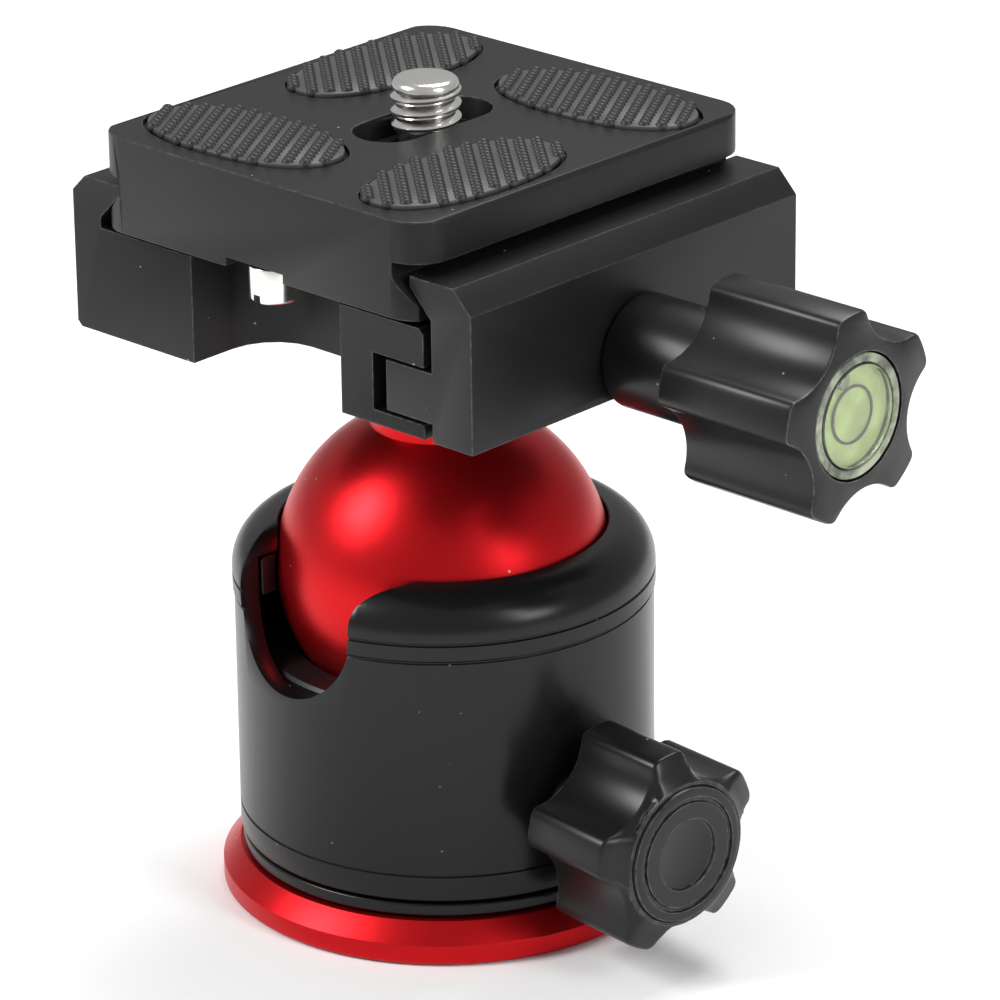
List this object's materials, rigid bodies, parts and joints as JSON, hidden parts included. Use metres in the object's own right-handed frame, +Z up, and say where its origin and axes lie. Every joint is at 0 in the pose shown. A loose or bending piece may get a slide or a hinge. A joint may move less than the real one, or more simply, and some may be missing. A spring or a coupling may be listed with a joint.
{
  "type": "camera ball head",
  "caption": "Compact tripod ball head with a drop notch, a lobed lock knob, a screw-knob dovetail clamp with a bubble level, and a padded camera plate.",
  "frame": {"origin": "centre of the pan base's underside, on the pan axis, in the mouth of the tripod thread", "axes": "+Z up from the tripod towards the camera, +X out along the clamp screw towards its knob, -Y towards the drop notch (turned 5.5 degrees about Z); the plate slides along Y"},
  "size_m": [0.0737, 0.0434, 0.0771],
  "materials": {
    "anodised_red": "satin red anodised aluminium with a fine sparkle",
    "anodised_black": "fine bead-blasted black anodised aluminium",
    "black_gloss": "semi-gloss black anodised aluminium, turned, with bright worn edges",
    "steel": "plain turned steel",
    "chrome": "bright chrome plate",
    "brass": "plain turned brass",
    "rubber": "matt black ribbed rubber",
    "black_plastic": "matt black plastic",
    "white_nylon": "off-white nylon",
    "level_liquid": "clear yellow-green liquid",
    "clear_window": "clear acrylic"
  },
  "bodies": {
    "base": {"pan_base": "anodised_red", "tripod_thread_insert": "steel", "pan_retaining_nut": "steel", "pan_glide_washer": "white_nylon"},
    "housing": {"housing": "anodised_black", "bottom_plug": "anodised_black", "upper_ball_seat": "black_plastic", "lock_screw_bushing": "brass", "cup_spring": "steel"},
    "lock_wedge": {"lock_thrust_block": "brass"},
    "lock_knob": {"lock_knob": "black_gloss", "lock_screw": "steel", "lock_knob_cap": "black_gloss"},
    "pressure_ring": {"pressure_ring": "steel"},
    "ball_cup": {"lower_ball_cup": "black_plastic"},
    "ball": {"ball": "anodised_red"},
    "clamp": {"clamp_body": "anodised_black", "neck_screw": "steel"},
    "jaw": {"moving_jaw": "anodised_black", "knob_sleeve": "black_gloss", "jaw_spring_front": "steel", "jaw_spring_rear": "steel"},
    "clamp_knob": {"clamp_knob": "black_gloss", "clamp_bolt": "steel", "level_housing": "black_plastic", "level_liquid": "level_liquid", "level_window": "clear_window"},
    "plate": {"quick_release_plate": "anodised_black", "left_rear_pad": "rubber", "right_rear_pad": "rubber", "right_front_pad": "rubber", "left_front_pad": "rubber", "front_stop_screw": "chrome", "rear_stop_screw": "chrome"},
    "camera_washer": {"camera_screw_washer": "steel"},
    "camera_screw": {"camera_screw": "chrome"}
  },
  "joints": [
    {"name": "pan", "type": "hinge", "parent": "base", "child": "housing", "pos_m": [0, 0, 0], "axis": [0, 0, 1], "continuous": true},
    {"name": "lock_wedge_slide", "type": "slide", "parent": "housing", "child": "lock_wedge", "axis": [0.9954, -0.0958, 0], "range_m": [-0.001, 0.001]},
    {"name": "lock_knob_turn", "type": "hinge", "parent": "lock_wedge", "child": "lock_knob", "pos_m": [0, 0, 0.0124], "axis": [0.9954, -0.0958, 0], "range_deg": [-360, 360]},
    {"name": "pressure_ring_lift", "type": "slide", "parent": "housing", "child": "pressure_ring", "axis": [0, 0, 1], "range_m": [-0.00025, 0.00025]},
    {"name": "ball_direction", "type": "hinge", "parent": "pressure_ring", "child": "ball_cup", "pos_m": [0, 0, 0.0309], "axis": [0, 0, 1], "range_deg": [-360, 360]},
    {"name": "ball_tilt", "type": "hinge", "parent": "ball_cup", "child": "ball", "pos_m": [0, 0, 0.0309], "axis": [0.9954, -0.0958, 0], "range_deg": [-42, 90]},
    {"name": "ball_spin", "type": "hinge", "parent": "ball", "child": "clamp", "pos_m": [0, 0, 0.0309], "axis": [0, 0, 1], "continuous": true},
    {"name": "jaw_slide", "type": "slide", "parent": "clamp", "child": "jaw", "axis": [1, 0, 0], "range_m": [0, 0.004]},
    {"name": "clamp_knob_turn", "type": "hinge", "parent": "jaw", "child": "clamp_knob", "pos_m": [0, 0, 0.0574], "axis": [1, 0, 0], "range_deg": [0, 1440]},
    {"name": "plate_slide", "type": "slide", "parent": "clamp", "child": "plate", "axis": [0, 1, 0], "range_m": [-0.0045, 0.0059]},
    {"name": "camera_screw_slide", "type": "slide", "parent": "plate", "child": "camera_washer", "axis": [0, 1, 0], "range_m": [-0.0047, 0.0039]},
    {"name": "camera_screw_turn", "type": "hinge", "parent": "camera_washer", "child": "camera_screw", "pos_m": [-0.001, -0.0003, 0.07], "axis": [0, 0, 1], "continuous": true}
  ],
  "couplings": [
    {"joint": "lock_knob_turn", "follows": "pressure_ring_lift", "rad_per_m": -25133},
    {"joint": "lock_wedge_slide", "follows": "pressure_ring_lift", "ratio": -4},
    {"joint": "clamp_knob_turn", "follows": "jaw_slide", "rad_per_m": 6283.2}
  ]
}
